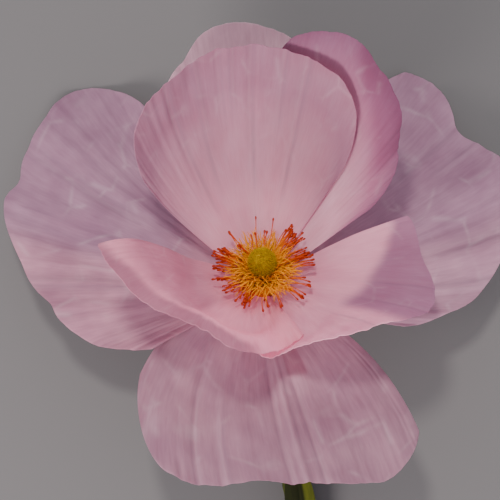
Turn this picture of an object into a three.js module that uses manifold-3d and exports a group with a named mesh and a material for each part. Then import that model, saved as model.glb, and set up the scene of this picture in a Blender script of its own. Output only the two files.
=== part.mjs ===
// A crepe paper peony in full bloom on a wrapped wire stem. It lies face up: two outer petals and the
// stem rest on the table, and the stem is bent behind the head. Millimetres, +Z up.
import * as THREE from "three";
import { mergeVertices } from "three/addons/utils/BufferGeometryUtils.js";
import Module from "manifold-3d";

const wasm = await Module();
wasm.setup();

// Paper and the play between pieces that are glued or wound together
const petalPaper = 0.4;
const coverPaper = 0.5;
const tapePaper = 0.4;
const sepalPaper = 0.5;
const leafPaper = 0.6;
const fringePaper = 0.6;
const glueGap = 0.3;

// Stem: a wire with crepe paper wound round it
const wireDiameter = 2;
const stemDiameter = 8;
const headTilt = 20; // degrees from straight up, towards +Y
const stemSlant = 10.5; // degrees from -Y, towards +X
const straightBehindHead = 17;
const stemAlongTable = 226;
const wireBeyondWrap = 1;

// Centre of the flower, with heights above the point where the innermost petal leaves its neck
const pistilDiameter = 12.6;
const pistilHeight = 23;
const pistilSkirt = 5;
const skirtSpread = 1.32; // radians below the cap's middle where its lining meets the skirt
const fringeBottom = -6.5;
const fringeTop = 5;
const filamentRoot = 1; // how deep a filament starts inside its band
const filamentWander = 0.5;
const filamentRadius = 0.32;
const filamentStops = [0, 0.35, 0.7, 0.92, 1];
const bulbFrom = 0.9;
const fringes = [
  { name: "stamen_fringe_inner", count: 18, tip: 11, rise: 21, swirl: 24, bulb: 1, colour: 0xd69a1e },
  { name: "stamen_fringe_middle", count: 22, tip: 16, rise: 19, swirl: 18, bulb: 1.9, colour: 0xd8871a },
  { name: "stamen_fringe_outer", count: 24, tip: 21, rise: 15.5, swirl: 12, bulb: 1.9, colour: 0xd4661c },
];

// Petals: each has a glued neck, a quick turn out of it, and then the open blade
const neckLength = 7;
const turnLength = 4;
const neckStops = [0, 2, 4.5, 8];
const petalRibs = 16;
const ribCrowding = 1.4; // ribs stand closer towards the side edges, to round the corners
const cornerSharpness = 12;
const bladeRows = 6;
const riseLength = 105; // of paper, over which a blade climbs by its rise
const mostRise = 1.3; // a longer blade climbs no further than this share of its rise
const spreadLength = 100; // of paper, over which a side edge goes from its base angle to its rim angle
const creaseFade = 25; // of paper, over which a crease deepens
const wallTurn = 6; // of paper, each side of the line where a blade turns up into a wall
const bowlPetals = 4; // the first ones, in the lighter paper

// Angles are seen from the front, in degrees from +X towards +Y, floor angles from the flower's flat
// plane. Lists run evenly across the petal, from its first side edge to its second. A layer counts the
// necks that lie under this one. A blade may turn up into a wall at wallAt, by wallBy degrees, and fall
// back again by its flare over the last of its paper.
const petals = [
  {
    name: "inner_petal_top",
    layer: 0,
    base: [153, 51],
    rim: [154, 43],
    floor: [15],
    rise: 63,
    bend: 0.75,
    reach: [90, 101, 106, 111, 106, 101, 88],
    corner: [0.22, 0.3],
    ruffle: { height: 0.8, waves: 3, phase: 0.1 },
  },
  {
    name: "inner_petal_top_right",
    layer: 1,
    base: [94, 31],
    rim: [86, 17],
    floor: [14],
    rise: 60,
    bend: 0.75,
    reach: [113, 118, 121, 116, 104, 88, 76],
    corner: [0.15, 0.25],
    ruffle: { height: 1, waves: 2.5, phase: 0.3 },
  },
  {
    name: "inner_petal_left",
    layer: 0,
    base: [298, 156],
    rim: [300, 194],
    floor: [30, 32, 34, 30, 22],
    rise: 4,
    bend: 0.8,
    reach: [39, 52, 91, 99, 90, 92, 100],
    corner: [0.04, 0.04],
    wallAt: [9, 32, 37, 33, 32],
    wallBy: [10, 26, 32, 32, 38],
    flare: { by: 24, over: 30 },
    ruffle: { height: 0.8, waves: 3, phase: 0 },
  },
  {
    name: "inner_petal_right",
    layer: 1,
    base: [30, -84],
    rim: [8, -103],
    floor: [24, 20, 24, 24, 22],
    rise: 14,
    bend: 0.8,
    reach: [70, 72, 86, 89, 80, 56, 42],
    corner: [0.04, 0.04],
    wallAt: [80, 56, 37, 38, 40],
    wallBy: [12, 10, 22, 30, 20],
    ruffle: { height: 0.8, waves: 3, phase: 0.4 },
  },
  {
    name: "back_petal_top",
    layer: 2,
    base: [140, 55],
    rim: [134, 60],
    floor: [8],
    rise: 50,
    bend: 1,
    reach: [84, 90, 106, 112, 106, 97, 85],
    corner: [0.2, 0.2],
    ruffle: { height: 1, waves: 3, phase: 0.2 },
  },
  {
    name: "outer_petal_left",
    layer: 3,
    base: [213, 128],
    rim: [214, 119],
    floor: [4],
    rise: -10.7,
    bend: 1,
    reach: [57, 71, 85, 98, 115, 119, 125, 115],
    corner: [0.12, 0.2],
    creases: [{ at: 0.06, from: 55, depth: 2.6, width: 8 }],
    ruffle: { height: 1.6, waves: 4, phase: 0.15 },
  },
  {
    name: "outer_petal_right",
    layer: 3,
    base: [62, -26],
    rim: [63, -11],
    floor: [4],
    rise: -9.4,
    bend: 1,
    reach: [122, 123, 113, 116, 110, 101, 87, 72],
    corner: [0.15, 0.2],
    creases: [{ at: -0.08, from: 70, depth: -2, width: 8 }],
    ruffle: { height: 1.6, waves: 4.5, phase: 0.35 },
  },
  {
    name: "outer_petal_bottom",
    layer: 4,
    base: [338, 188],
    rim: [310, 240],
    floor: [2, 4, 7, 4, 2],
    rise: 4,
    bend: 1,
    reach: [95, 98, 94, 89, 88, 90, 90, 75],
    corner: [0.08, 0.2],
    ruffle: { height: 1.2, waves: 4, phase: 0 },
  },
];

// Sepals: five pointed green strips that cup the back of the flower
const sepalCount = 5;
const sepalTurn = 18; // degrees from +X to the middle of the first sepal
const sepal = {
  base: [32, -32],
  rim: [-6, 6],
  floor: [-4],
  rise: -30,
  bend: 1,
  reach: [13, 22, 31, 38, 31, 22, 13],
  corner: [0, 0],
  ribs: 6,
  rows: 3,
  riseLength: 38,
  spreadLength: 60,
};

// Leaf: glued to the top of the stem and lifting towards the flower
const leafLength = 66;
const leafStart = 100; // along the stem, from the end of its bend
const leafWidths = [7, 8.5, 10.5, 14, 11, 2];
const leafHug = 0.3; // share of its length that hugs the stem
const leafLift = 10.5; // degrees from its foot up
const leafArch = 8; // degrees that it levels out by at its tip
const leafLean = -3; // degrees to the left of the stem
const leafOpening = 10; // how much wider its round section grows
const leafRows = 8;
const leafRibs = 6;

const degrees = THREE.MathUtils.degToRad;
const smooth = (x, low, high) => THREE.MathUtils.smoothstep(x, low, high);

// Radii, each wound on the last
const wireRadius = wireDiameter / 2;
const stemRadius = stemDiameter / 2;
const skirtRadius = wireRadius + glueGap;
const fringeRadii = [0, 1, 2].map(
  (turn) => skirtRadius + coverPaper + glueGap + turn * (fringePaper + glueGap),
);
const innerNeckRadius = fringeRadii[2] + fringePaper + glueGap + petalPaper / 2;
const layerStep = petalPaper + glueGap;
const outerNeckRadius = innerNeckRadius + Math.max(...petals.map(({ layer }) => layer)) * layerStep;
const tapeRadius = outerNeckRadius + petalPaper / 2 + glueGap;
const sepalNeckRadius = tapeRadius + tapePaper + glueGap + sepalPaper / 2;
const tapeTop = -(petals.length - 1) * layerStep - 1.2;
const sepalTop = tapeTop - 0.5;

// Finishes
const pinkPaper = (hex) =>
  new THREE.MeshStandardMaterial({ color: hex, roughness: 0.85, side: THREE.DoubleSide });
const greenPaper = (hex) => new THREE.MeshStandardMaterial({ color: hex, roughness: 0.9 });
const wireSteel = new THREE.MeshStandardMaterial({ color: 0x8a8d88, metalness: 1, roughness: 0.45 });
const foam = new THREE.MeshStandardMaterial({ color: 0xe8e6dc, roughness: 0.95 });

// A value on the smooth curve through a list of evenly spaced ones, at share 0 to 1
function along(values, share) {
  if (values.length === 1) return values[0];
  const curve = new THREE.SplineCurve(values.map((value, i) => new THREE.Vector2(i, value)));
  return curve.getPoint(THREE.MathUtils.clamp(share, 0, 1)).y;
}

// One rib of a petal, millimetre by millimetre of its paper: the slope integrates to radius and height
function ribCurve(petal, share, reach) {
  const floor = along(petal.floor, share);
  const wallAt = petal.wallAt ? along(petal.wallAt, share) : 0;
  const wallBy = petal.wallAt ? along(petal.wallBy, share) : 0;
  const flare = petal.flare ?? { by: 0, over: reach };
  const slopes = [];
  for (let a = 0; a <= Math.ceil(reach) + 1; a++) {
    const blade = floor + petal.rise * Math.pow(Math.min(a / petal.riseLength, mostRise), petal.bend);
    const wall = wallBy * smooth(a, wallAt - wallTurn, wallAt + wallTurn);
    const bowl = blade + wall - flare.by * smooth(a, reach - flare.over, reach);
    const turn = Math.exp(-Math.pow(a / turnLength, 2));
    slopes.push(degrees(bowl + (90 - bowl) * turn));
  }
  const points = [new THREE.Vector2(petal.neckRadius, petal.top)];
  for (let a = 1; a < slopes.length; a++) {
    const mean = (slopes[a] + slopes[a - 1]) / 2;
    points.push(new THREE.Vector2(Math.cos(mean), Math.sin(mean)).add(points[a - 1]));
  }
  return (a) => {
    if (a < 0) return { r: petal.neckRadius, h: petal.top + a, slope: Math.PI / 2 };
    const i = Math.min(Math.floor(a), points.length - 2);
    const at = points[i].clone().lerp(points[i + 1], a - i);
    return { r: at.x, h: at.y, slope: THREE.MathUtils.lerp(slopes[i], slopes[i + 1], a - i) };
  };
}

// A petal is a flat box bent along its ribs: x runs across it, y from neck to rim, z through the paper
function petalGeometry(petal) {
  const rows = neckStops.length + petal.rows;
  const geometry = new THREE.BoxGeometry(2, rows, 1, petal.ribs, rows, 1);
  const position = geometry.getAttribute("position");
  const ribs = new Map();
  for (let i = 0; i < position.count; i++) {
    const x = Math.sin(ribCrowding * position.getX(i)) / Math.sin(ribCrowding);
    const row = Math.round(position.getY(i) + rows / 2);
    const key = Math.round(position.getX(i) * petal.ribs);
    const share = (x + 1) / 2;
    const corner = petal.corner[x < 0 ? 0 : 1] * Math.pow(Math.abs(x), cornerSharpness);
    const reach = along(petal.reach, share) * (1 - corner);
    if (!ribs.has(key)) ribs.set(key, ribCurve(petal, share, reach));
    const lastStop = neckStops[neckStops.length - 1];
    const bladeShare = (row - neckStops.length) / petal.rows;
    const stops = [-petal.neck, ...neckStops];
    const a = bladeShare > 0 ? THREE.MathUtils.lerp(lastStop, reach, bladeShare) : stops[row];
    const { r, h, slope } = ribs.get(key)(a);
    const open = Math.max(a, 0) / petal.spreadLength;
    const side = [0, 1].map((n) => THREE.MathUtils.lerp(petal.base[n], petal.rim[n], open));
    const angle = degrees(THREE.MathUtils.lerp(side[0], side[1], share));
    let lift = position.getZ(i) * petal.paper;
    if (petal.ruffle) {
      const { height, waves, phase } = petal.ruffle;
      const wave = Math.sin(2 * Math.PI * ((waves * x) / 2 + phase));
      lift += height * wave * Math.pow(Math.max(a, 0) / reach, 3);
    }
    for (const crease of petal.creases ?? []) {
      const halfWidth = (r * degrees(side[0] - side[1])) / 2;
      const away = ((x - crease.at) * halfWidth) / crease.width;
      lift -= crease.depth * Math.exp(-away * away) * smooth(a, crease.from, crease.from + creaseFade);
    }
    const radius = r - Math.sin(slope) * lift;
    const height = h + Math.cos(slope) * lift;
    position.setXYZ(i, radius * Math.cos(angle), radius * Math.sin(angle), height);
  }
  geometry.computeVertexNormals();
  return geometry;
}

// A round piece on the flower's axis, from pairs of radius and height
function turned(profile, sides) {
  const points = profile.map(([radius, height]) => new THREE.Vector2(radius, height));
  return new THREE.LatheGeometry(points, sides).rotateX(Math.PI / 2);
}

// A section carried along a path, with its own stops and its own scale at each
function swept(section, sides, path, stops, across, scaleAt = () => 1) {
  const geometry = new THREE.ExtrudeGeometry(section, {
    depth: stops.length - 1,
    steps: stops.length - 1,
    bevelEnabled: false,
    curveSegments: sides,
  });
  const position = geometry.getAttribute("position");
  const tangent = new THREE.Vector3();
  for (let i = 0; i < position.count; i++) {
    const stop = stops[Math.round(position.getZ(i))];
    const centre = path.getPointAt(stop);
    path.getTangentAt(stop, tangent);
    const normal = new THREE.Vector3().crossVectors(across, tangent).normalize();
    const binormal = new THREE.Vector3().crossVectors(tangent, normal);
    const scale = scaleAt(stop);
    centre.addScaledVector(normal, position.getX(i) * scale);
    centre.addScaledVector(binormal, position.getY(i) * scale);
    position.setXYZ(i, centre.x, centre.y, centre.z);
  }
  geometry.computeVertexNormals();
  return geometry;
}

function triangle(radius) {
  const corner = (turn) => [radius * Math.cos(turn), radius * Math.sin(turn)];
  const shape = new THREE.Shape().moveTo(...corner(0));
  return shape.lineTo(...corner((2 * Math.PI) / 3)).lineTo(...corner((4 * Math.PI) / 3));
}

function disc(radius) {
  return new THREE.Shape().absarc(0, 0, radius, 0, 2 * Math.PI);
}

function solid(geometry) {
  const bare = geometry.clone();
  bare.deleteAttribute("normal");
  bare.deleteAttribute("uv");
  const merged = mergeVertices(bare.index ? bare.toNonIndexed() : bare, 1e-3);
  return new wasm.Manifold(
    new wasm.Mesh({
      numProp: 3,
      vertProperties: merged.getAttribute("position").array,
      triVerts: new Uint32Array(merged.index.array),
    }),
  );
}

function joined(geometries) {
  const whole = geometries.map(solid).reduce((sum, piece) => sum.add(piece));
  const { vertProperties, triVerts } = whole.getMesh();
  const geometry = new THREE.BufferGeometry();
  geometry.setAttribute("position", new THREE.BufferAttribute(vertProperties, 3));
  geometry.setIndex(new THREE.BufferAttribute(triVerts, 1));
  geometry.computeVertexNormals();
  return geometry;
}

function named(name, geometry, material) {
  const mesh = new THREE.Mesh(geometry, material);
  mesh.name = name;
  return mesh;
}

const head = new THREE.Group();
head.rotation.x = -degrees(headTilt);

// Petals, innermost first
petals.forEach((petal, order) => {
  Object.assign(petal, {
    paper: petalPaper,
    neck: neckLength,
    neckRadius: innerNeckRadius + petal.layer * layerStep,
    top: -order * layerStep,
    riseLength,
    spreadLength,
    ribs: petalRibs,
    rows: bladeRows,
  });
  const pink = order < bowlPetals ? 0xd9a9bb : 0xc99db2;
  head.add(named(petal.name, petalGeometry(petal), pinkPaper(pink)));
});

// Sepals, glued round the taped neck
for (let i = 0; i < sepalCount; i++) {
  const middle = sepalTurn + (i * 360) / sepalCount;
  const geometry = petalGeometry({
    ...sepal,
    base: sepal.base.map((side) => side + middle),
    rim: sepal.rim.map((side) => side + middle),
    paper: sepalPaper,
    neck: neckLength - 1,
    neckRadius: sepalNeckRadius,
    top: sepalTop,
  });
  head.add(named("sepal_" + (i + 1), geometry, greenPaper(0x5d6a2a)));
}

// Neck tape: wound over the petals' glued necks and drawn in to the stem
{
  const shoulder = tapeTop - neckLength;
  const foot = -straightBehindHead + 1;
  const inner = [
    [stemRadius + glueGap, foot],
    [tapeRadius, shoulder],
    [tapeRadius, tapeTop],
  ];
  const outer = inner.map(([radius, height]) => [radius + tapePaper, height]).reverse();
  const profile = [...outer, ...inner, outer[0]].reverse();
  head.add(named("neck_tape", turned(profile, 24), greenPaper(0x53602a)));
}

// Pistil: a foam ball on the wire's end, under a gathered crepe cap
{
  const coverRadius = pistilDiameter / 2;
  const coreRadius = coverRadius - coverPaper - glueGap;
  const boreRadius = wireRadius + glueGap;
  const arc = (radius, from, to, count) =>
    Array.from({ length: count + 1 }, (_, i) => {
      const angle = THREE.MathUtils.lerp(from, to, i / count);
      return [radius * Math.cos(angle), pistilHeight + radius * Math.sin(angle)];
    });
  const coreFoot = -Math.acos(boreRadius / coreRadius);
  const core = [
    [0, pistilHeight],
    [boreRadius, pistilHeight],
    ...arc(coreRadius, coreFoot, Math.PI / 2, 6),
  ];
  core[core.length - 1][0] = 0;
  head.add(named("pistil_core", turned(core, 12), foam));

  const skirtEnd = pistilHeight - coverRadius - pistilSkirt;
  const outerRadius = skirtRadius + coverPaper;
  const outside = arc(coverRadius, -Math.acos(outerRadius / coverRadius), Math.PI / 2, 7);
  const inside = arc(coverRadius - coverPaper, Math.PI / 2, -skirtSpread, 6);
  outside[outside.length - 1][0] = 0;
  inside[0][0] = 0;
  const cover = [...inside, [skirtRadius, skirtEnd], [outerRadius, skirtEnd], ...outside];
  head.add(named("pistil_cover", turned(cover, 14), greenPaper(0xa09a20)));
}

// Stamens: three fringed strips wound round the wire, each a band with its filaments
fringes.forEach((fringe, turn) => {
  const inside = fringeRadii[turn];
  const middle = inside + fringePaper / 2;
  const band = turned(
    [
      [inside, fringeTop],
      [inside, fringeBottom],
      [inside + fringePaper, fringeBottom],
      [inside + fringePaper, fringeTop],
      [inside, fringeTop],
    ],
    14,
  );
  const pieces = [band];
  for (let i = 0; i < fringe.count; i++) {
    const angle = (2 * Math.PI * i) / fringe.count + turn;
    const sway = Math.sin(i * 2.4 + turn) * filamentWander;
    const at = (out, up, round) => {
      const a = angle + degrees(fringe.swirl * round);
      const radius = THREE.MathUtils.lerp(middle, fringe.tip + sway, out);
      return new THREE.Vector3(radius * Math.cos(a), radius * Math.sin(a), fringeTop + up);
    };
    // Shares of the way out, heights and shares of the swirl, from the root to the tip
    const path = new THREE.CatmullRomCurve3([
      at(0, -filamentRoot, 0),
      at(0.15, 0.36 * fringe.rise, 0.2),
      at(0.6, 0.8 * fringe.rise, 0.7),
      at(1, fringe.rise + sway, 1),
    ]);
    const across = new THREE.Vector3(-Math.sin(angle), Math.cos(angle), 0);
    const width = (stop) => (stop > bulbFrom ? fringe.bulb : 1);
    pieces.push(swept(triangle(filamentRadius), 1, path, filamentStops, across, width));
  }
  head.add(named(fringe.name, joined(pieces), greenPaper(fringe.colour)));
});

// The lowest paper of the tilted head touches the table
head.updateMatrixWorld(true);
const headHeight = -new THREE.Box3().setFromObject(head, true).min.z;
head.position.z = headHeight;
head.updateMatrixWorld(true);

// Stem path: down the flower's axis, round the bend and along the table
const axis = new THREE.Vector3(0, Math.sin(degrees(headTilt)), Math.cos(degrees(headTilt)));
const lying = new THREE.Vector3(Math.sin(degrees(stemSlant)), -Math.cos(degrees(stemSlant)), 0);
const bendPlane = new THREE.Vector3().crossVectors(lying, axis).normalize();
const stemPoint = (distance) => head.position.clone().addScaledVector(axis, distance);
const bendStart = stemPoint(-straightBehindHead);
const bendAngle = Math.acos(-axis.dot(lying));
const inward = lying.clone().addScaledVector(axis, Math.cos(bendAngle)).normalize();
const drop = Math.sin(bendAngle) * axis.z - (1 - Math.cos(bendAngle)) * inward.z;
const bendRadius = (bendStart.z - stemRadius) / drop;
const bendEnd = bendStart
  .clone()
  .addScaledVector(axis, -bendRadius * Math.sin(bendAngle))
  .addScaledVector(inward, bendRadius * (1 - Math.cos(bendAngle)));
const handle = (4 / 3) * Math.tan(bendAngle / 4) * bendRadius;

function stemPath(top, end) {
  const path = new THREE.CurvePath();
  path.add(new THREE.LineCurve3(stemPoint(top), bendStart));
  path.add(
    new THREE.CubicBezierCurve3(
      bendStart,
      bendStart.clone().addScaledVector(axis, -handle),
      bendEnd.clone().addScaledVector(lying, -handle),
      bendEnd,
    ),
  );
  path.add(new THREE.LineCurve3(bendEnd, bendEnd.clone().addScaledVector(lying, end)));
  return path;
}

// Even stops round the bend and few along the straights
function stemStops(path, bendStops, straightStops) {
  const lengths = path.getCurveLengths();
  const total = lengths[2];
  const stops = [0];
  for (let i = 0; i <= bendStops; i++) {
    stops.push(THREE.MathUtils.lerp(lengths[0], lengths[1], i / bendStops) / total);
  }
  for (let i = 1; i <= straightStops; i++) {
    stops.push(THREE.MathUtils.lerp(lengths[1], total, i / straightStops) / total);
  }
  return stops;
}

const wirePath = stemPath(pistilHeight - glueGap, stemAlongTable + wireBeyondWrap);
const wireStops = stemStops(wirePath, 7, 4);
const wire = swept(disc(wireRadius), 4, wirePath, wireStops, bendPlane);

const wrapSection = disc(stemRadius);
wrapSection.holes.push(disc(wireRadius + glueGap));
const wrapPath = stemPath(fringeBottom - glueGap, stemAlongTable);
const wrap = swept(wrapSection, 5, wrapPath, stemStops(wrapPath, 7, 4), bendPlane);

// Leaf: its foot hugs the stem, and its section opens out as it lifts away
function leafGeometry() {
  const geometry = new THREE.BoxGeometry(2, leafRows, 1, leafRibs, leafRows, 1);
  const position = geometry.getAttribute("position");
  const up = new THREE.Vector3(0, 0, 1);
  const towardsHead = lying.clone().negate().applyAxisAngle(up, degrees(leafLean));
  const sideways = up.clone().cross(towardsHead).negate();
  const foot = bendEnd.clone().addScaledVector(lying, leafStart);
  const snug = stemRadius + glueGap + leafPaper / 2;
  for (let i = 0; i < position.count; i++) {
    const share = (position.getY(i) + leafRows / 2) / leafRows;
    const length = share * leafLength;
    const slope = degrees(leafLift * smooth(share, 0, leafHug) - leafArch * share * share);
    const halfWidth = along(leafWidths, share) / 2;
    const hug = snug + leafOpening * share;
    const turn = (position.getX(i) * halfWidth) / hug;
    const radius = hug + position.getZ(i) * leafPaper;
    const point = foot.clone().addScaledVector(towardsHead, length);
    point.addScaledVector(sideways, radius * Math.sin(turn));
    point.z += length * Math.tan(slope) + snug - hug + radius * Math.cos(turn);
    position.setXYZ(i, point.x, point.y, point.z);
  }
  geometry.computeVertexNormals();
  return geometry;
}

const flower = new THREE.Group();
flower.add(head);
flower.add(named("stem_wire", wire, wireSteel));
flower.add(named("stem_wrap", wrap, greenPaper(0x4e5a24)));
flower.add(named("stem_leaf", leafGeometry(), greenPaper(0x66732a)));

// The origin is on the table, under the middle of the whole flower
const bounds = new THREE.Box3().setFromObject(flower, true);
const centre = bounds.getCenter(new THREE.Vector3());
flower.position.set(-centre.x, -centre.y, -bounds.min.z);
flower.updateMatrixWorld(true);

export default flower;
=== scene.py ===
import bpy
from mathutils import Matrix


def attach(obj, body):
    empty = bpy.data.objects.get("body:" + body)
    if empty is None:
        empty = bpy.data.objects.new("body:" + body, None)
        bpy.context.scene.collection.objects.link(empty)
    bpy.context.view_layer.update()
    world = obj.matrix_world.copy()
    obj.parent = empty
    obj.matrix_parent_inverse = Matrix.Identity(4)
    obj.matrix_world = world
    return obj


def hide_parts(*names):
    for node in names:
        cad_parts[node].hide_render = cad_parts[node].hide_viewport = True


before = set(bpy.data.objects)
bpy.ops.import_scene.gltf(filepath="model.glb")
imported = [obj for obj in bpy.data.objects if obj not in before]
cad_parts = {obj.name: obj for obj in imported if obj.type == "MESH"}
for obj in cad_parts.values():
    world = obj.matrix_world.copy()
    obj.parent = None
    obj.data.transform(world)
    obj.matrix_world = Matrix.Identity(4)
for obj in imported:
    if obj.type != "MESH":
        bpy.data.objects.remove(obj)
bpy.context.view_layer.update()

import math

import bpy
import numpy as np
from mathutils import Vector

mm = 0.001
cutEdge = math.radians(80)

# Where the flower's head is: the middle of its petals' base, and its own axes
headOrigin = np.array([2.350, 75.019, 39.731])
headTilt = math.radians(20)
headX = np.array([1.0, 0.0, 0.0])
headY = np.array([0.0, math.cos(headTilt), -math.sin(headTilt)])
headZ = np.array([0.0, math.sin(headTilt), math.cos(headTilt)])


def inHead(x, y, z):
    # points measured on the flower's own axes, in mm, to the row frame in mm
    x, y, z = np.broadcast_arrays(np.asarray(x, float), np.asarray(y, float), np.asarray(z, float))
    return headOrigin + x[..., None] * headX + y[..., None] * headY + z[..., None] * headZ


def smooth(x, low, high):
    # soft step from 0 at low to 1 at high
    t = np.clip((np.asarray(x, float) - low) / (high - low), 0, 1)
    return t * t * (3 - 2 * t)


def along(values, share):
    # smooth curve through evenly spaced values, share 0 to 1
    v = np.asarray(values, float)
    share = np.clip(np.asarray(share, float), 0, 1)
    if len(v) == 1:
        return np.full(share.shape, v[0])
    spot = share * (len(v) - 1)
    i = np.minimum(spot.astype(int), len(v) - 2)
    w = spot - i
    p0, p1, p2, p3 = v[np.maximum(i - 1, 0)], v[i], v[i + 1], v[np.minimum(i + 2, len(v) - 1)]
    v0, v1 = (p2 - p0) / 2, (p3 - p1) / 2
    return (2 * p1 - 2 * p2 + v0 + v1) * w**3 + (3 * p2 - 3 * p1 - 2 * v0 - v1) * w**2 + v0 * w + p1


def wobble(t, seed):
    # smooth one-way noise between -1 and 1, one bump for each whole number
    table = np.random.RandomState(seed).uniform(-1, 1, 512)
    t = np.asarray(t, float) + 200
    i = np.floor(t).astype(int)
    w = t - i
    w = w * w * (3 - 2 * w)
    return table[i % 512] * (1 - w) + table[(i + 1) % 512] * w


def unevenness(s, t, seed):
    # smooth two-way noise between -1 and 1
    table = np.random.RandomState(seed).uniform(-1, 1, (64, 64))
    s, t = np.broadcast_arrays(np.asarray(s, float) + 20, np.asarray(t, float) + 20)
    i, j = np.floor(s).astype(int), np.floor(t).astype(int)
    a, b = s - i, t - j
    a, b = a * a * (3 - 2 * a), b * b * (3 - 2 * b)
    pick = lambda di, dj: table[(i + di) % 64, (j + dj) % 64]
    return (pick(0, 0) * (1 - a) + pick(1, 0) * a) * (1 - b) + (pick(0, 1) * (1 - a) + pick(1, 1) * a) * b


def meshPiece(name, points, faces, corners, material, node):
    # the visible piece for one CAD node: points in mm, and UV maps with a pair for each point
    mesh = bpy.data.meshes.new(name)
    mesh.from_pydata((np.asarray(points) * mm).tolist(), [], faces)
    loopPoint = np.empty(len(mesh.loops), int)
    mesh.loops.foreach_get("vertex_index", loopPoint)
    for mapName, pairs in corners.items():
        layer = mesh.uv_layers.new(name=mapName)
        layer.data.foreach_set("uv", np.asarray(pairs, float)[loopPoint].ravel())
    mesh.update()
    mesh.polygons.foreach_set("use_smooth", np.ones(len(mesh.polygons), bool))
    mesh.set_sharp_from_angle(angle=cutEdge)
    piece = bpy.data.objects.new(name, mesh)
    bpy.context.scene.collection.objects.link(piece)
    piece.data.materials.append(material)
    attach(piece, "root")
    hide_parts(node)


def gridFaces(columns, rows, start=0, flip=False):
    # four-sided faces between the points of a grid
    i, j = np.meshgrid(np.arange(columns - 1), np.arange(rows - 1), indexing="ij")
    a = (start + i * rows + j).ravel()
    quads = np.stack([a, a + rows, a + rows + 1, a + 1], 1)
    return quads[:, ::-1] if flip else quads


def paperSheet(upper, lower, flat, place, tone, foldLighting=0):
    # a thin closed sheet between two grids of points; the last two grids tell the material where it paints
    # shade in zones and where folds get painted shade and highlight
    columns, rows = upper.shape[:2]
    count = columns * rows
    faces = [gridFaces(columns, rows), gridFaces(columns, rows, count, flip=True)]
    ring = [i * rows for i in range(columns)]
    ring += [(columns - 1) * rows + j for j in range(1, rows)]
    ring += [i * rows + rows - 1 for i in range(columns - 2, -1, -1)]
    ring += [j for j in range(rows - 2, 0, -1)]
    ring = np.array(ring)
    after = np.roll(ring, -1)
    faces.append(np.stack([after, ring, ring + count, after + count], 1))
    points = np.concatenate([upper.reshape(-1, 3), lower.reshape(-1, 3)])
    pairs = {"paper": flat, "place": place, "tone": np.stack([tone, 0 * tone + foldLighting], -1)}
    maps = {name: np.tile(grid.reshape(-1, 2), (2, 1)) for name, grid in pairs.items()}
    return points, np.concatenate(faces).tolist(), maps


def tube(path, radii, sides):
    # a round thread with closed ends along a path of points
    path = np.asarray(path, float)
    tangent = np.gradient(path, axis=0)
    tangent /= np.linalg.norm(tangent, axis=1)[:, None]
    side = np.cross(tangent[0], [0.3, 0.5, 0.8])
    side /= np.linalg.norm(side)
    rings = []
    travelled = np.concatenate([[0], np.cumsum(np.linalg.norm(np.diff(path, axis=0), axis=1))])
    for point, way, radius in zip(path, tangent, radii):
        side = side - way * (side @ way)
        side /= np.linalg.norm(side)
        other = np.cross(way, side)
        angle = np.linspace(0, 2 * math.pi, sides, endpoint=False)
        rings.append(point + radius * (np.cos(angle)[:, None] * side + np.sin(angle)[:, None] * other))
    points = np.concatenate([np.concatenate(rings), path[:1], path[-1:]])
    faces = []
    last = len(path) - 1
    for k in range(last):
        for s in range(sides):
            t = (s + 1) % sides
            faces.append([k * sides + s, k * sides + t, (k + 1) * sides + t, (k + 1) * sides + s])
    foot, tip = len(points) - 2, len(points) - 1
    for s in range(sides):
        t = (s + 1) % sides
        faces.append([foot, t, s])
        faces.append([tip, last * sides + s, last * sides + t])
    u = np.tile(np.arange(sides) / sides, len(path))
    v = np.repeat(travelled, sides)
    flat = np.stack([np.concatenate([u, [0, 0]]), np.concatenate([v, [0, travelled[-1]]])], 1)
    place = np.stack([np.zeros(len(points)), flat[:, 1] / travelled[-1]], 1)
    return points, faces, {"paper": flat, "place": place}


def turned(profile, turn, mmPerTurn):
    # a profile of radius and height in mm, swept round the flower's axis
    radius, height = profile[:, 0], profile[:, 1]
    skin = inHead(radius * np.cos(turn)[:, None], radius * np.sin(turn)[:, None], height)
    flat = np.stack(np.broadcast_arrays(turn[:, None] * mmPerTurn, height), -1).reshape(-1, 2)
    faces = gridFaces(len(turn), len(profile)).tolist()
    return skin.reshape(-1, 3), faces, {"paper": flat, "place": flat * 0}


def gathered(parts):
    # several meshes as one
    points, faces, maps, start = [], [], {}, 0
    for part, partFaces, partMaps in parts:
        points.append(part)
        faces += [[i + start for i in face] for face in partFaces]
        for name, pairs in partMaps.items():
            maps.setdefault(name, []).append(pairs)
        start += len(part)
    return np.concatenate(points), faces, {name: np.concatenate(pairs) for name, pairs in maps.items()}


def hexToLinear(colour):
    # an sRGB hex colour as Blender's linear one
    value = [int(colour.lstrip("#")[i:i + 2], 16) / 255 for i in (0, 2, 4)]
    return (*[c / 12.92 if c <= 0.04045 else ((c + 0.055) / 1.055) ** 2.4 for c in value], 1.0)


def addNode(tree, kind, settings=None, links=None):
    # settings go to the node's own properties or else its sockets; links run from sockets to sockets
    node = tree.nodes.new(kind)
    for name, value in (settings or {}).items():
        if isinstance(name, str) and hasattr(node, name):
            setattr(node, name, value)
        else:
            node.inputs[name].default_value = value
    for name, source in (links or {}).items():
        tree.links.new(source, node.inputs[name])
    return node


def newMaterial(name):
    material = bpy.data.materials.new(name)
    material.use_nodes = True
    material.node_tree.nodes.clear()
    return material, material.node_tree


# painted shade and painted highlight for the two sides of a fold; the pale one also paints the wrinkles'
# highlights
foldShade = "#8f7288"
foldHighlight = "#fff0f6"


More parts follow.
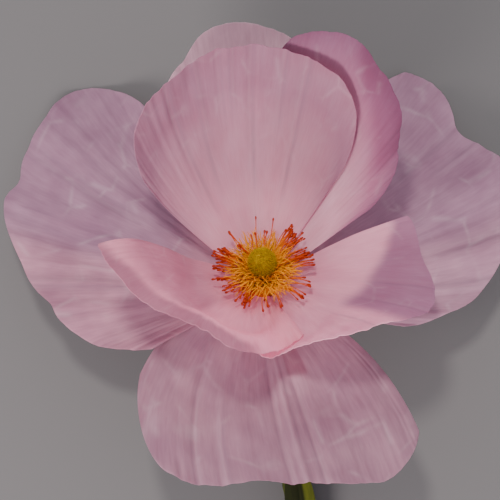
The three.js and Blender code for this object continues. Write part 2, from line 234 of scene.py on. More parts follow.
def crepePaper(name, look):
    # crepe paper: pulp tissue, dyed in the mass, crimped on a blade and stretched by hand over the thumb.
    # The eye gets a dry, matt face with fine crinkles that run lengthwise, and a glow where light comes
    # through from behind.
    material, tree = newMaterial(name)
    uv = addNode(tree, "ShaderNodeUVMap", {"uv_map": "paper"}).outputs[0]
    crinkle = look["crinkleMm"]
    grain = {}
    # each scale of unevenness: the width and length of a bump in mm, and where its pattern starts
    for kind, across, lengthwise, offset in (
        ("fine", crinkle, crinkle * 12, 3.1),
        ("coarse", crinkle * 3.2, crinkle * 40, 7.7),
        ("fibres", 0.5, 0.5, 11.3),
        ("patches", 17, 24, look["seed"]),
        ("crumples", 11, 15, look["seed"] + 5),
    ):
        drawn = addNode(tree, "ShaderNodeMapping",
                        {"Scale": (1 / across, 1 / lengthwise, 1),
                         "Location": (offset, offset * 0.37, offset)},
                        {"Vector": uv}).outputs[0]
        grain[kind] = addNode(tree, "ShaderNodeTexNoise", {"Scale": 1.0, "Detail": 2, "Roughness": 0.55},
                              {"Vector": drawn}).outputs[0]

    # the paper's own colour, fading in patches, with painted shade that darkens it in the crinkles' grooves
    some = addNode(tree, "ShaderNodeMath", {"operation": "MULTIPLY", 1: 0.3}, {0: grain["coarse"]}).outputs[0]
    crinkled = addNode(tree, "ShaderNodeMath", {"operation": "MULTIPLY_ADD", 1: 0.7},
                       {0: grain["fine"], 2: some}).outputs[0]
    crest = addNode(tree, "ShaderNodeMapRange", {"From Min": 0.34, "From Max": 0.66},
                    {"Value": crinkled}).outputs[0]
    patch = addNode(tree, "ShaderNodeMapRange", {"From Min": 0.3, "From Max": 0.7},
                    {"Value": grain["patches"]}).outputs[0]
    paper = addNode(tree, "ShaderNodeMix",
                    {"data_type": "RGBA", 6: hexToLinear(look["colour"]), 7: hexToLinear(look["faded"])},
                    {0: patch}).outputs[2]
    grooveShade = addNode(tree, "ShaderNodeMix",
                     {"data_type": "RGBA", 6: hexToLinear(look["grooveShade"]), 7: (1, 1, 1, 1)},
                     {0: crest}).outputs[2]
    # painted shade in the grooves, as strong as the look's grain
    colour = addNode(tree, "ShaderNodeMix", {"data_type": "RGBA", "blend_type": "MULTIPLY", 0: look["grain"]},
                     {6: paper, 7: grooveShade}).outputs[2]

    # tints that begin and end at a share of the petal's length, and painted shade in the shade colour inside
    # its zones
    if "tints" in look:
        place = addNode(tree, "ShaderNodeUVMap", {"uv_map": "place"}).outputs[0]
        upTo = addNode(tree, "ShaderNodeSeparateXYZ", links={0: place}).outputs[1]
    for tint, begins, ends in look.get("tints", []):
        reached = addNode(tree, "ShaderNodeMapRange", {"From Min": begins, "From Max": ends},
                          {"Value": upTo}).outputs[0]
        colour = addNode(tree, "ShaderNodeMix",
                         {"data_type": "RGBA", "blend_type": "MULTIPLY", 7: hexToLinear(tint)},
                         {0: reached, 6: colour}).outputs[2]
    if "shade" in look or "foldShading" in look:
        zone = addNode(tree, "ShaderNodeUVMap", {"uv_map": "tone"}).outputs[0]
        within, foldLightSide = addNode(tree, "ShaderNodeSeparateXYZ", links={0: zone}).outputs[:2]
    # painted shade: the colour multiplied by the shade colour inside the zones
    if "shade" in look:
        colour = addNode(tree, "ShaderNodeMix",
                         {"data_type": "RGBA", "blend_type": "MULTIPLY", 7: hexToLinear(look["shade"])},
                         {0: within, 6: colour}).outputs[2]

    # folds get painted shade on one side and a painted highlight on the other, and wrinkles get broken pale
    # lines of painted highlight
    if "foldShading" in look:
        for side, paintedFoldColour, much in ((1.0, foldShade, 1.0), (0.0, foldHighlight, 0.24)):
            folded = addNode(tree, "ShaderNodeMapRange",
                             {"From Min": 0.5, "From Max": side, "To Max": look["foldShading"] * much},
                             {"Value": foldLightSide}).outputs[0]
            colour = addNode(tree, "ShaderNodeMix", {"data_type": "RGBA", 7: hexToLinear(paintedFoldColour)},
                             {0: folded, 6: colour}).outputs[2]
        # painted highlight: broken pale lines along the edges of soft facets, where the crumples let them
        # show
        spread = addNode(tree, "ShaderNodeMapping",
                         {"Scale": (1 / 13, 1 / 19, 1), "Rotation": (0, 0, 0.5),
                          "Location": (look["seed"], 0, 0)},
                         {"Vector": uv}).outputs[0]
        facet = addNode(tree, "ShaderNodeTexVoronoi",
                        {"feature": "DISTANCE_TO_EDGE", "Scale": 1.0, "Randomness": 1.0},
                        {"Vector": spread}).outputs[0]
        line = addNode(tree, "ShaderNodeMapRange",
                       {"From Max": 0.07, "To Min": look["wrinkleHighlights"], "To Max": 0.0},
                       {"Value": facet}).outputs[0]
        broken = addNode(tree, "ShaderNodeMapRange", {"From Min": 0.48, "From Max": 0.62},
                         {"Value": grain["crumples"]}).outputs[0]
        wrinkleHighlight = addNode(tree, "ShaderNodeMath", {"operation": "MULTIPLY"}, {0: line, 1: broken}).outputs[0]
        colour = addNode(tree, "ShaderNodeMix", {"data_type": "RGBA", 7: hexToLinear(foldHighlight)},
                         {0: wrinkleHighlight, 6: colour}).outputs[2]

    # the relief, each scale with its strength and its depth in mm
    relief = None
    for kind, strength, depth in (
        ("crumples", 0.5, 0.9),
        ("coarse", look["relief"], 0.16),
        ("fine", look["relief"], 0.12),
        ("fibres", 0.15, 0.06),
    ):
        relief = addNode(tree, "ShaderNodeBump", {"Strength": strength, "Distance": depth * mm},
                         {"Height": grain[kind], **({"Normal": relief} if relief else {})}).outputs[0]
    face = addNode(tree, "ShaderNodeBsdfPrincipled",
                   {"Roughness": 0.82, "IOR": 1.47, "Specular IOR Level": 0.25, "Sheen Weight": look["sheen"],
                    "Sheen Roughness": 0.6},
                   {"Base Color": colour, "Normal": relief}).outputs[0]
    through = addNode(tree, "ShaderNodeBsdfTranslucent", links={"Color": colour, "Normal": relief}).outputs[0]
    blend = addNode(tree, "ShaderNodeMixShader", {0: look["glow"]}, {1: face, 2: through}).outputs[0]
    addNode(tree, "ShaderNodeOutputMaterial", links={"Surface": blend})
    return material


pooledDye = "#9a5a30"


def dyedThread(name, stops, roughness=0.7, mottleMm=1.2, mottle=0.35):
    # cotton floss or foam, stiffened with glue and dipped in dye, from one end's colour to the other's.
    # The eye gets soft, dry threads that are darker where the dye pooled.
    material, tree = newMaterial(name)
    place = addNode(tree, "ShaderNodeUVMap", {"uv_map": "place"}).outputs[0]
    uv = addNode(tree, "ShaderNodeUVMap", {"uv_map": "paper"}).outputs[0]
    upTo = addNode(tree, "ShaderNodeSeparateXYZ", links={0: place}).outputs[1]
    ramp = addNode(tree, "ShaderNodeValToRGB", links={0: upTo})
    for k, (position, colour) in enumerate(stops):
        stop = ramp.color_ramp.elements[k] if k < 2 else ramp.color_ramp.elements.new(position)
        stop.position = position
        stop.color = hexToLinear(colour)
    pooled = addNode(tree, "ShaderNodeTexNoise", {"Scale": 1 / mottleMm, "Detail": 2},
                     {"Vector": uv}).outputs[0]
    deep = addNode(tree, "ShaderNodeMapRange", {"From Min": 0.35, "From Max": 0.7, "To Max": mottle},
                   {"Value": pooled}).outputs[0]
    colour = addNode(tree, "ShaderNodeMix",
                     {"data_type": "RGBA", "blend_type": "MULTIPLY", 7: hexToLinear(pooledDye)},
                     {0: deep, 6: ramp.outputs[0]}).outputs[2]
    face = addNode(tree, "ShaderNodeBsdfPrincipled",
                   {"Roughness": roughness, "IOR": 1.5, "Specular IOR Level": 0.15},
                   {"Base Color": colour}).outputs[0]
    addNode(tree, "ShaderNodeOutputMaterial", links={"Surface": face})
    return material


# Petals: the same curves as the solids, with the paper's own creases, pleats and cut edges.
# Lengths are in mm and angles in degrees. base and rim are the two sides' directions round the flower's axis,
# floor the slope at the foot and rise what it gains; wallAt and wallBy stand a petal up at that length.
# A petal's lists run evenly from its first side to its second.
neckRadius = 5.0
layerStep = 0.7
neckLength = 7
turnLength = 4
riseLength = 105
mostRise = 1.3
spreadLength = 100
ribCrowding = 1.4
cornerSharpness = 12
wallTurn = 6
footLength = 6
footRows = 7
creaseRun = 25
sharpFold = 4

bowlPink = {
    "crinkleMm": 0.7, "colour": "#ffcee0", "faded": "#f4bcd2", "grooveShade": "#dcaac4",
    "glow": 0.58, "grain": 0.2, "relief": 0.2, "sheen": 0.08, "foldShading": 0.5, "wrinkleHighlights": 0.1,
}
outerPink = {
    "crinkleMm": 0.7, "colour": "#deb4c9", "faded": "#c799b2", "grooveShade": "#b892ab",
    "glow": 0.58, "grain": 0.22, "relief": 0.25, "sheen": 0.08, "foldShading": 0.55, "wrinkleHighlights": 0.16,
}

# zones: the parts of a petal that get painted shade in its shade colour, where it lies in shade
petals = [
    {
        "node": "inner_petal_top", "layer": 0,
        "base": (153, 51), "rim": (154, 43), "floor": [15], "rise": 63, "bend": 0.75,
        "reach": [90, 101, 106, 111, 106, 101, 88], "corner": (0.22, 0.3), "ruffle": (0.8, 3, 0.1),
        "pleats": 0.5, "seed": 11,
        "look": {**bowlPink, "seed": 1.0, "colour": "#ffd5e5", "faded": "#fac6d9",
                 "tints": [("#c2b0bf", 0.3, 0.8)]},
        "creases": [
            {"at": 0.08, "from": 30, "depth": 0.5, "width": 1.6},
            {"at": -0.52, "from": 26, "depth": 0.7, "width": 1.8},
            {"at": -0.3, "from": 34, "depth": -0.5, "width": 1.8},
            {"at": -0.14, "from": 60, "depth": 0.6, "width": 1.2},
            {"at": -0.06, "from": 66, "depth": -0.5, "width": 1.2},
            {"at": 0.14, "from": 70, "depth": 0.45, "width": 1.2},
            {"at": 0.3, "from": 55, "depth": 0.4, "width": 1.5},
            {"at": 0.45, "from": 25, "depth": 0.6, "width": 1.8},
        ],
    },
    {
        "node": "inner_petal_top_right", "layer": 1,
        "base": (94, 31), "rim": (86, 17), "floor": [14], "rise": 60, "bend": 0.75,
        "reach": [113, 118, 121, 116, 104, 88, 76], "corner": (0.15, 0.25), "ruffle": (1, 2.5, 0.3),
        "pleats": 0.5, "seed": 23,
        "look": {**bowlPink, "seed": 2.0, "colour": "#ffd9e8", "faded": "#fcccde", "shade": "#cf9cc0",
                 "tints": [("#ccaec4", 0.45, 0.75), ("#ccc2cf", 0.76, 1.0)]},
        "zones": [{"share": (0.38, 0.85), "from": [0.94, 0.82, 0.76, 0.78], "amount": 0.55, "soft": 0.07}],
    },
    {
        "node": "inner_petal_left", "layer": 0,
        "base": (298, 156), "rim": (300, 194), "floor": [30, 32, 34, 30, 22], "rise": 4, "bend": 0.8,
        "reach": [39, 52, 91, 99, 90, 92, 100], "corner": (0.04, 0.04), "ruffle": (0.8, 3, 0),
        "wallAt": [9, 32, 37, 33, 32], "wallBy": [10, 26, 32, 32, 38], "flare": (24, 30),
        "pleats": 0.6, "seed": 37,
        "look": {**bowlPink, "seed": 3.0, "colour": "#fec7d9", "faded": "#f2b5ca", "shade": "#ccbcc8"},
        "zones": [{"share": (0.3, 1.05), "from": [0.9, 0.86, 0.86, 0.9, 1.0], "amount": 0.8, "soft": 0.045},
                  {"share": (0.6, 1.05), "from": [0.25], "to": 0.8, "amount": 0.6, "soft": 0.12}],
    },
    {
        "node": "inner_petal_right", "layer": 1,
        "base": (30, -84), "rim": (8, -103), "floor": [24, 20, 24, 24, 22], "rise": 14, "bend": 0.8,
        "reach": [70, 72, 86, 89, 80, 56, 42], "corner": (0.04, 0.04),
        "wallAt": [80, 56, 37, 38, 40], "wallBy": [12, 10, 22, 30, 20], "ruffle": (0.8, 3, 0.4),
        "pleats": 0.6, "seed": 41, "look": {**bowlPink, "seed": 4.0, "shade": "#cbbfd2"},
        "zones": [{"share": (-0.1, 0.43), "from": [1.0, 0.88, 0.77, 0.62, 0.5, 0.42],
                   "amount": 1.0, "soft": 0.05}],
        "creases": [
            {"at": -0.3, "from": 30, "depth": 0.7, "width": 1.6},
            {"at": 0.05, "from": 28, "depth": -0.7, "width": 1.6},
            {"at": -0.5, "from": 34, "depth": 0.6, "width": 1.3},
        ],
    },
    {
        "node": "back_petal_top", "layer": 2,
        "base": (140, 55), "rim": (134, 60), "floor": [8], "rise": 50, "bend": 1,
        "reach": [84, 90, 106, 112, 106, 97, 85], "notches": [(0.3, 3, 0.04)],
        "corner": (0.2, 0.2), "ruffle": (1, 3, 0.2),
        "pleats": 0.6, "seed": 53,
        "look": {**outerPink, "seed": 5.0, "colour": "#e8c8d6", "faded": "#dcbaca"},
    },
    {
        "node": "outer_petal_left", "layer": 3,
        "base": (213, 128), "rim": (214, 119), "floor": [4], "rise": -10.7, "bend": 1,
        "reach": [57, 71, 85, 98, 115, 119, 125, 115], "notches": [(0.63, 4, 0.035), (0.3, 2, 0.03)],
        "corner": (0.12, 0.2), "ruffle": (1.6, 4, 0.15),
        "pleats": 0.8, "seed": 67,
        "look": {**outerPink, "seed": 6.0, "colour": "#deacc1", "faded": "#c792ab", "shade": "#ccdfef"},
        "zones": [{"share": (0.5, 1.1), "from": [0.3], "amount": 0.45, "soft": 0.1}],
        "creases": [
            {"at": 0.06, "from": 55, "depth": 2.6, "width": 8},
            {"at": -0.25, "from": 35, "depth": -0.9, "width": 3},
            {"at": 0.42, "from": 45, "depth": 0.8, "width": 2.5},
            {"at": -0.5, "from": 60, "depth": 0.7, "width": 2},
        ],
    },
    {
        "node": "outer_petal_right", "layer": 3,
        "base": (62, -26), "rim": (63, -11), "floor": [4], "rise": -9.4, "bend": 1,
        "reach": [122, 123, 113, 116, 110, 101, 87, 72], "notches": [(0.3, 2.2, 0.035)],
        "corner": (0.15, 0.2), "ruffle": (1.6, 4.5, 0.35),
        "pleats": 0.8, "seed": 71, "look": {**outerPink, "seed": 7.0, "shade": "#d2cee0"},
        "zones": [{"share": (-0.1, 0.6), "from": [0.3], "amount": 0.45, "soft": 0.1}],
        "creases": [
            {"at": -0.08, "from": 70, "depth": -2, "width": 8},
            {"at": 0.3, "from": 60, "depth": 0.9, "width": 3},
            {"at": 0.62, "from": 40, "depth": -0.7, "width": 2.5},
            {"at": -0.45, "from": 65, "depth": 0.8, "width": 2.2},
            {"at": -0.28, "from": 75, "depth": -0.6, "width": 1.8},
        ],
    },
    {
        "node": "outer_petal_bottom", "layer": 4,
        "base": (338, 188), "rim": (310, 240), "floor": [2, 4, 7, 4, 2], "rise": 4, "bend": 1,
        "reach": [95, 98, 94, 89, 88, 90, 90, 75], "corner": (0.08, 0.2), "ruffle": (1.2, 4, 0),
        "pleats": 0.8, "seed": 83,
        "look": {**outerPink, "seed": 8.0, "colour": "#e8c0d2", "faded": "#d5a9c0", "shade": "#d08cab",
                 # painted light: the paper is lighter where the inner petals shade it, and this tint darkens
                 # it further out
                 "tints": [("#e0d8dc", 0.4, 0.62)]},
        "zones": [{"share": (0.27, 0.36), "from": [0.2], "to": 0.42, "amount": 0.45, "soft": 0.02}],
        "creases": [
            {"at": -0.3, "from": 24, "depth": 0.9, "width": 1.3},
            {"at": -0.2, "from": 20, "depth": -0.7, "width": 1.2},
            {"at": -0.1, "from": 22, "depth": 0.8, "width": 1.2},
            {"at": 0.5, "from": 30, "depth": 0.9, "width": 1.6},
            {"at": 0.3, "from": 40, "depth": -0.6, "width": 1.5},
        ],
    },
]
petalPaper = 0.2
petalColumns, petalRows = ((150, 96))


def sheetGrid(p, columns, rows):
    # one petal's grids: upper and lower face, flat paper in mm, shares across and along, its zones of painted
    # shade, and its folds' painted shade and highlight
    even = np.linspace(-1, 1, columns)
    x = np.sin(ribCrowding * even) / math.sin(ribCrowding)
    share = (x + 1) / 2
    corner = np.where(x < 0, *p["corner"]) * np.abs(x) ** cornerSharpness
    reach = along(p["reach"], share) * (1 - corner) + p["cut"] * wobble(x * 9, p["seed"])
    for at, depth, width in p.get("notches", []):
        reach = reach - depth * np.exp(-((share - at) / width)**2)
    floor = along(p["floor"], share)
    step = 0.5
    s = np.arange(0, reach.max() + 4, step)
    blade = floor[:, None] + p["rise"] * np.minimum(s / p["riseLength"], mostRise) ** p["bend"]
    if "wallAt" in p:
        wallAt = along(p["wallAt"], share)[:, None]
        blade = blade + along(p["wallBy"], share)[:, None] * smooth(s, wallAt - wallTurn, wallAt + wallTurn)
    if "flare" in p:
        by, over = p["flare"]
        blade = blade - by * smooth(s, reach[:, None] - over, reach[:, None])
    turn = np.exp(-((s / turnLength) ** 2))
    slope = np.radians(blade + (90 - blade) * turn)
    start = np.zeros((columns, 1))
    mean = (slope[:, 1:] + slope[:, :-1]) / 2
    r = np.concatenate([start, np.cumsum(np.cos(mean), 1)], 1) * step
    h = np.concatenate([start, np.cumsum(np.sin(mean), 1)], 1) * step

    low = np.linspace(-p["neck"], footLength, footRows + 1)[:-1]
    rest = np.linspace(0, 1, rows - footRows)
    a = np.concatenate([np.tile(low, (columns, 1)), footLength + (reach[:, None] - footLength) * rest], 1)
    spot = np.clip(a, 0, None) / step
    i = np.minimum(spot.astype(int), slope.shape[1] - 2)
    w = spot - i
    pick = lambda grid: np.take_along_axis(grid, i, 1) * (1 - w) + np.take_along_axis(grid, i + 1, 1) * w
    radius = p["neckRadius"] + pick(r)
    height = p["top"] + pick(h) + np.minimum(a, 0)
    e = pick(slope)

    open_ = np.clip(a, 0, None) / p["spreadLength"]
    first = p["base"][0] + (p["rim"][0] - p["base"][0]) * open_
    second = p["base"][1] + (p["rim"][1] - p["base"][1]) * open_
    angle = np.radians(first + (second - first) * share[:, None])
    halfWidth = radius * np.radians(np.abs(first - second)) / 2
    u = np.clip(a, 0, None) / reach[:, None]
    across = x[:, None]

    lift = np.zeros_like(a)
    if "ruffle" in p:
        amount, waves, phase = p["ruffle"]
        lift += amount * np.sin(2 * math.pi * (waves * across / 2 + phase)) * u**3
    # painted light for narrow creases: 0.5 is none, above it painted shade on one side of a crease, below it
    # painted highlight on the other
    foldLighting = np.full_like(a, 0.5)
    for crease in p.get("creases", []):
        away = (across - crease["at"]) * halfWidth / crease["width"]
        begun = smooth(a, crease["from"], crease["from"] + creaseRun)
        lift -= crease["depth"] * np.exp(-away**2) * begun
        if crease["width"] < sharpFold:
            foldLighting += np.sign(crease["depth"]) * 0.8 * away * np.exp(-2 * away**2) * begun
    grain = wobble(across * 26, p["seed"] + 1) + 0.6 * wobble(across * 61, p["seed"] + 2)
    lift += p["pleats"] * 0.5 * grain * u**1.6
    lift += p["pleats"] * 1.1 * unevenness(across * 4, a / 26, p["seed"] + 3) * smooth(u, 0.1, 0.6)
    lift += p["pleats"] * 0.45 * unevenness(across * 10, a / 11, p["seed"] + 5) * smooth(u, 0.2, 0.7)
    lift += p["pleats"] * 0.55 * wobble(across * 15, p["seed"] + 4) * smooth(u, 0.86, 1.0)

    def at(offset):
        out = lift + offset
        rr, hh = radius - np.sin(e) * out, height + np.cos(e) * out
        return inHead(rr * np.cos(angle), rr * np.sin(angle), hh)

    width = math.radians(abs(p["rim"][0] - p["rim"][1])) * 60 / 2
    flat = np.stack([np.broadcast_to(across * width, a.shape), a], -1)
    place = np.stack([np.broadcast_to(share[:, None], a.shape), u], -1)
    # painted shade: each zone darkens the paper where the petal lies in shade
    tone = np.zeros_like(a)
    for zone in p.get("zones", []):
        low, high = zone["share"]
        spot = (share[:, None] - low) / (high - low)
        inside = smooth(spot, -0.08, 0.08) * (1 - smooth(spot, 0.92, 1.08))
        edge = along(zone["from"], spot) + 0.01 * wobble(share[:, None] * 30, p["seed"] + 6)
        inside = inside * smooth(u, edge - zone["soft"], edge + zone["soft"])
        if "to" in zone:
            inside = inside * (1 - smooth(u, zone["to"] - zone["soft"], zone["to"] + zone["soft"]))
        tone = np.maximum(tone, inside * zone["amount"])
    return at(p["paper"] / 2), at(-p["paper"] / 2), flat, place, tone, np.clip(foldLighting, 0, 1)


def makePetals():
    for order, petal in enumerate(petals):
        p = {
            "cut": 0.5, **petal, "paper": petalPaper, "neck": neckLength,
            "neckRadius": neckRadius + petal["layer"] * layerStep, "top": -order * layerStep,
            "riseLength": riseLength, "spreadLength": spreadLength,
        }
        points, faces, maps = paperSheet(*sheetGrid(p, petalColumns, petalRows))
        material = crepePaper("crimped crepe paper, dyed pink, " + petal["node"], petal["look"])
        meshPiece("creped_" + petal["node"], points, faces, maps, material, petal["node"])
    print("petals laid")


makePetals()

# Stamens: clubbed threads whose tips gather in clusters, and plain curly ones close round the ball.
# Each cluster is x, y and height in mm on the flower's own axes, its spread and its number of threads.
# plain is how many plain threads there are, how far out they go and how much their tips' heights differ.
stamens = {
    "threadRadius": 0.19, "clubRadius": 0.48, "clubLength": 1.4, "farthest": 22, "seed": 7,
    "bandTop": 5, "bandFoot": -6.5, "bandHalf": 0.3, "sunk": 1.5,
    "plainHeight": 20, "plainCurl": 1.3, "lean": 0.7,
    "stamen_fringe_outer": {
        "root": 4.3, "curl": 0.5, "plain": (160, 16, 3.2),
        "clusters": [
            (19.4, 5.2, 20.5, 1.9, 15), (21.6, 1.1, 20, 0.8, 4), (20.4, -7.4, 18, 0.9, 5),
            (17.6, -13.2, 18, 1.2, 8), (-19.4, -0.3, 20, 1.7, 12), (-17.8, 6.6, 20.5, 1.9, 13),
            (-6.7, -15.6, 18.5, 2.0, 22), (-14.8, -10.4, 19, 1.3, 9), (1.0, -16.5, 17, 1.4, 4),
            (8.6, -16.5, 16, 0.8, 2), (13.6, 12.4, 21, 1.6, 7), (-16.8, -5.6, 19.5, 1.3, 6),
        ],
    },
    "stamen_fringe_middle": {
        "root": 3.4, "curl": 0.7, "plain": (170, 13, 3.4),
        "clusters": [
            (12.0, 14.4, 24, 2.0, 15), (15.3, 10.8, 23.5, 1.7, 10), (-13.9, 13.6, 24, 0.4, 3),
            (-9.0, 8.2, 24, 0.6, 3), (17.4, 4.0, 22.5, 1.6, 9), (-16.6, 4.0, 22.5, 1.6, 9),
            (-10.4, -11.4, 20.5, 1.6, 7),
        ],
    },
    "stamen_fringe_inner": {
        "root": 2.5, "curl": 0.5, "plain": (170, 8.5, 3.0),
        "clusters": [
            (-3.8, 19.4, 27, 0.4, 1), (4.6, 18.6, 27, 0.3, 1), (0.8, 13.6, 26, 0.4, 2),
            (-4.4, 12.0, 26, 0.4, 2),
        ],
    },
}


def rootAt(radius, turn):
    # where a thread leaves its band
    return np.array([radius * math.cos(turn), radius * math.sin(turn), stamens["bandTop"] - stamens["sunk"]])


def threadPath(root, tip, curl, rng, club):
    # a thread's points from its band to its tip, rising first and then leaning out, with a sway of its own
    t = np.concatenate([np.linspace(0, 0.9, 11), [0.94, 0.965, 0.985, 1.0] if club else [0.95, 1.0]])
    across = np.linalg.norm(tip[:2] - root[:2])
    out = t ** rng.uniform(1.3, 1.9)
    up = 1 - (1 - t) ** rng.uniform(1.5, 2.1)
    path = np.stack([root[0] + (tip[0] - root[0]) * out, root[1] + (tip[1] - root[1]) * out,
                     root[2] + (tip[2] - root[2]) * up], 1)
    side = np.array([-(tip - root)[1], (tip - root)[0], 0]) / max(across, 1)
    sway = curl * np.sin(t * rng.uniform(4, 9) + rng.uniform(0, 6)) * t
    sway = sway + rng.uniform(-1, 1) * curl * 2 * t * (1 - t)
    path = path + sway[:, None] * side
    path[:, 2] += curl * 0.8 * np.sin(t * rng.uniform(5, 9) + rng.uniform(0, 6)) * t
    return t, path


def makeStamens():
    rng = np.random.RandomState(stamens["seed"])
    clubbed = dyedThread("cotton threads dipped red-orange",
                         [(0.0, "#e09a10"), (1.0, "#9a280a"), (0.45, "#f8b412"), (0.7, "#ee860e"),
                          (0.88, "#d04a12")])
    for node in ("stamen_fringe_inner", "stamen_fringe_middle", "stamen_fringe_outer"):
        fringe = stamens[node]
        parts = []
        for x, y, height, spread, count in fringe["clusters"]:
            for _ in range(count):
                tip = np.array([x, y, height]) + rng.normal(0, 1, 3) * [spread, spread, spread * 0.5]
                reach = np.hypot(*tip[:2])
                tip[:2] *= min(1, stamens["farthest"] / reach)
                turn = math.atan2(tip[1], tip[0]) + rng.uniform(-0.35, 0.35)
                t, path = threadPath(rootAt(fringe["root"], turn), tip, fringe["curl"], rng, True)
                club = stamens["clubRadius"] * rng.uniform(0.75, 1.15)
                radii = np.full(len(t), stamens["threadRadius"])
                radii[-4:] = np.array([0.6, 1.0, 0.95, 0.35]) * club
                way = path[-1] - path[-5]
                way /= np.linalg.norm(way)
                for k, back in enumerate((1.0, 0.62, 0.25, 0.0)):
                    path[-4 + k] = path[-1] - way * back * stamens["clubLength"]
                parts.append(tube(inHead(*path.T), radii, 6))
        count, farthest, rise = fringe["plain"]
        for k in range(count):
            turn = 2 * math.pi * (k + rng.uniform(-0.4, 0.4)) / count
            out = farthest + rng.uniform(-2.5, 1.5)
            lean = turn + rng.uniform(-stamens["lean"], stamens["lean"])
            height = stamens["plainHeight"] + rng.uniform(-rise, rise)
            tip = np.array([out * math.cos(lean), out * math.sin(lean), height])
            t, path = threadPath(rootAt(fringe["root"], turn), tip, stamens["plainCurl"], rng, False)
            radii = stamens["threadRadius"] * np.interp(t, [0, 0.8, 1], [1.15, 1.0, 0.45])
            part, faces, maps = tube(inHead(*path.T), radii, 5)
            maps["place"] = maps["place"] * [1, 0.62]
            parts.append((part, faces, maps))
        turn = np.linspace(0, 2 * math.pi, 49)
        foot, top, half = stamens["bandFoot"], stamens["bandTop"], stamens["bandHalf"]
        profile = np.array([(-half, foot), (-half, top - 1.2), (-half / 2, top),
                            (half / 2, top), (half, top - 1.2), (half, foot)])
        parts.append(turned(profile + [fringe["root"], 0], turn, 4))
        points, faces, maps = gathered(parts)
        meshPiece(node.replace("stamen_fringe", "thread_fringe"), points, faces, maps, clubbed, node)
    print("stamens set")


makeStamens()

# Pistil: a foam ball under a flocked crepe cap
pistil = {
    "radius": 5.3, "height": 23.4, "hairs": 1500, "hairLength": 1.1, "hairRadius": 0.12, "seed": 19,
    "lumps": 0.22, "skirtRadius": 1.8, "skirtLength": 5, "foamRadius": 4.3, "goldenAngle": 2.39996,
}


def makePistil():
    rng = np.random.RandomState(pistil["seed"])
    columns, rows, skirtRows = 64, 40, 5
    turn = np.linspace(0, 2 * math.pi, columns)
    tilt = np.linspace(-1.25, math.pi / 2 - 0.01, rows)
    lumps = pistil["lumps"] * unevenness(np.cos(turn)[:, None] * 3 + tilt * 2,
                                         np.sin(turn)[:, None] * 3 + tilt, 5)
    radius = pistil["radius"] - 0.15 + lumps
    ring = radius * np.cos(tilt)
    height = pistil["height"] + radius * np.sin(tilt)
    skirt = np.linspace(pistil["height"] - pistil["radius"] - pistil["skirtLength"],
                        pistil["height"] - pistil["radius"] * 0.95, skirtRows)
    ring = np.concatenate([np.full((columns, skirtRows), pistil["skirtRadius"]), ring], 1)
    height = np.concatenate([np.tile(skirt, (columns, 1)), height], 1)
    cap = inHead(ring * np.cos(turn)[:, None], ring * np.sin(turn)[:, None], height)
    # painted light: the cap lighter towards its top and darker low down
    share = np.clip((height - pistil["height"]) / pistil["radius"] * 0.5 + 0.5, 0, 1) * 0.6
    flat = np.stack([np.broadcast_to(turn[:, None] * 6, height.shape), height], -1)
    place = np.stack([np.zeros_like(share), share], -1)
    parts = [(cap.reshape(-1, 3), gridFaces(columns, rows + skirtRows).tolist(),
              {"paper": flat.reshape(-1, 2), "place": place.reshape(-1, 2)})]
    for k in range(pistil["hairs"]):
        up = 1 - 1.45 * (k + 0.5) / pistil["hairs"]
        angle = k * pistil["goldenAngle"]
        level = math.sqrt(1 - up * up)
        way = np.array([level * math.cos(angle), level * math.sin(angle), up])
        foot = way * (pistil["radius"] - 0.4)
        lean = way + rng.normal(0, 0.28, 3)
        lean /= np.linalg.norm(lean)
        tip = foot + lean * pistil["hairLength"] * rng.uniform(0.8, 1.5)
        path = np.array([foot, (foot + tip) / 2, tip]) + [0, 0, pistil["height"]]
        part, faces, maps = tube(inHead(*path.T), [pistil["hairRadius"] * 1.2, pistil["hairRadius"], 0.03], 4)
        # painted light and shade: hairs that face up lighter, and each hair darker at its root
        paler = (0.45 + 0.55 * maps["place"][:, 1]) * (0.5 + 0.5 * max(up, 0))
        maps["place"] = np.stack([maps["place"][:, 0], paler], 1)
        parts.append((part, faces, maps))
    flock = dyedThread("flocked crepe cap, olive yellow",
                       [(0.0, "#7a5e06"), (1.0, "#cdac14"), (0.5, "#a48206")], 0.85, 0.8, 0.3)
    points, faces, maps = gathered(parts)
    meshPiece("flocked_cap", points, faces, maps, flock, "pistil_cover")
    slant = np.linspace(-1.25, 1.56, 18)
    ball = pistil["foamRadius"] * np.stack([np.cos(slant), np.sin(slant)], 1)
    ball = np.concatenate([[(0.05, -3.4), (1.3, -4.1)], ball]) + [0, pistil["height"]]
    points, faces, maps = turned(ball, np.linspace(0, 2 * math.pi, 33), 5)
    foam = dyedThread("moulded foam ball", [(0.0, "#e8e6dc"), (1.0, "#e8e6dc")], 0.95, 0.6, 0.08)
    meshPiece("foam_ball", points, faces, maps, foam, "pistil_core")
    print("pistil set")


makePistil()

# Sepals: five pointed green strips, glued round the taped neck
sepal = {
    "base": (32, -32), "rim": (-6, 6), "floor": [-4], "rise": -30, "bend": 1, "corner": (0, 0),
    "reach": [13, 22, 31, 38, 31, 22, 13], "riseLength": 38, "spreadLength": 60, "paper": 0.4, "neck": 6,
    "neckRadius": 9.6, "top": -6.6, "cut": 0.25, "pleats": 0.3, "seed": 91,
    "count": 5, "firstTurn": 18,
}
leafGreen = {
    "crinkleMm": 0.9, "colour": "#4d5518", "faded": "#3c4412", "grooveShade": "#8f9a60",
    "glow": 0.35, "grain": 0.5, "relief": 0.5, "sheen": 0.05, "seed": 12.0,
}


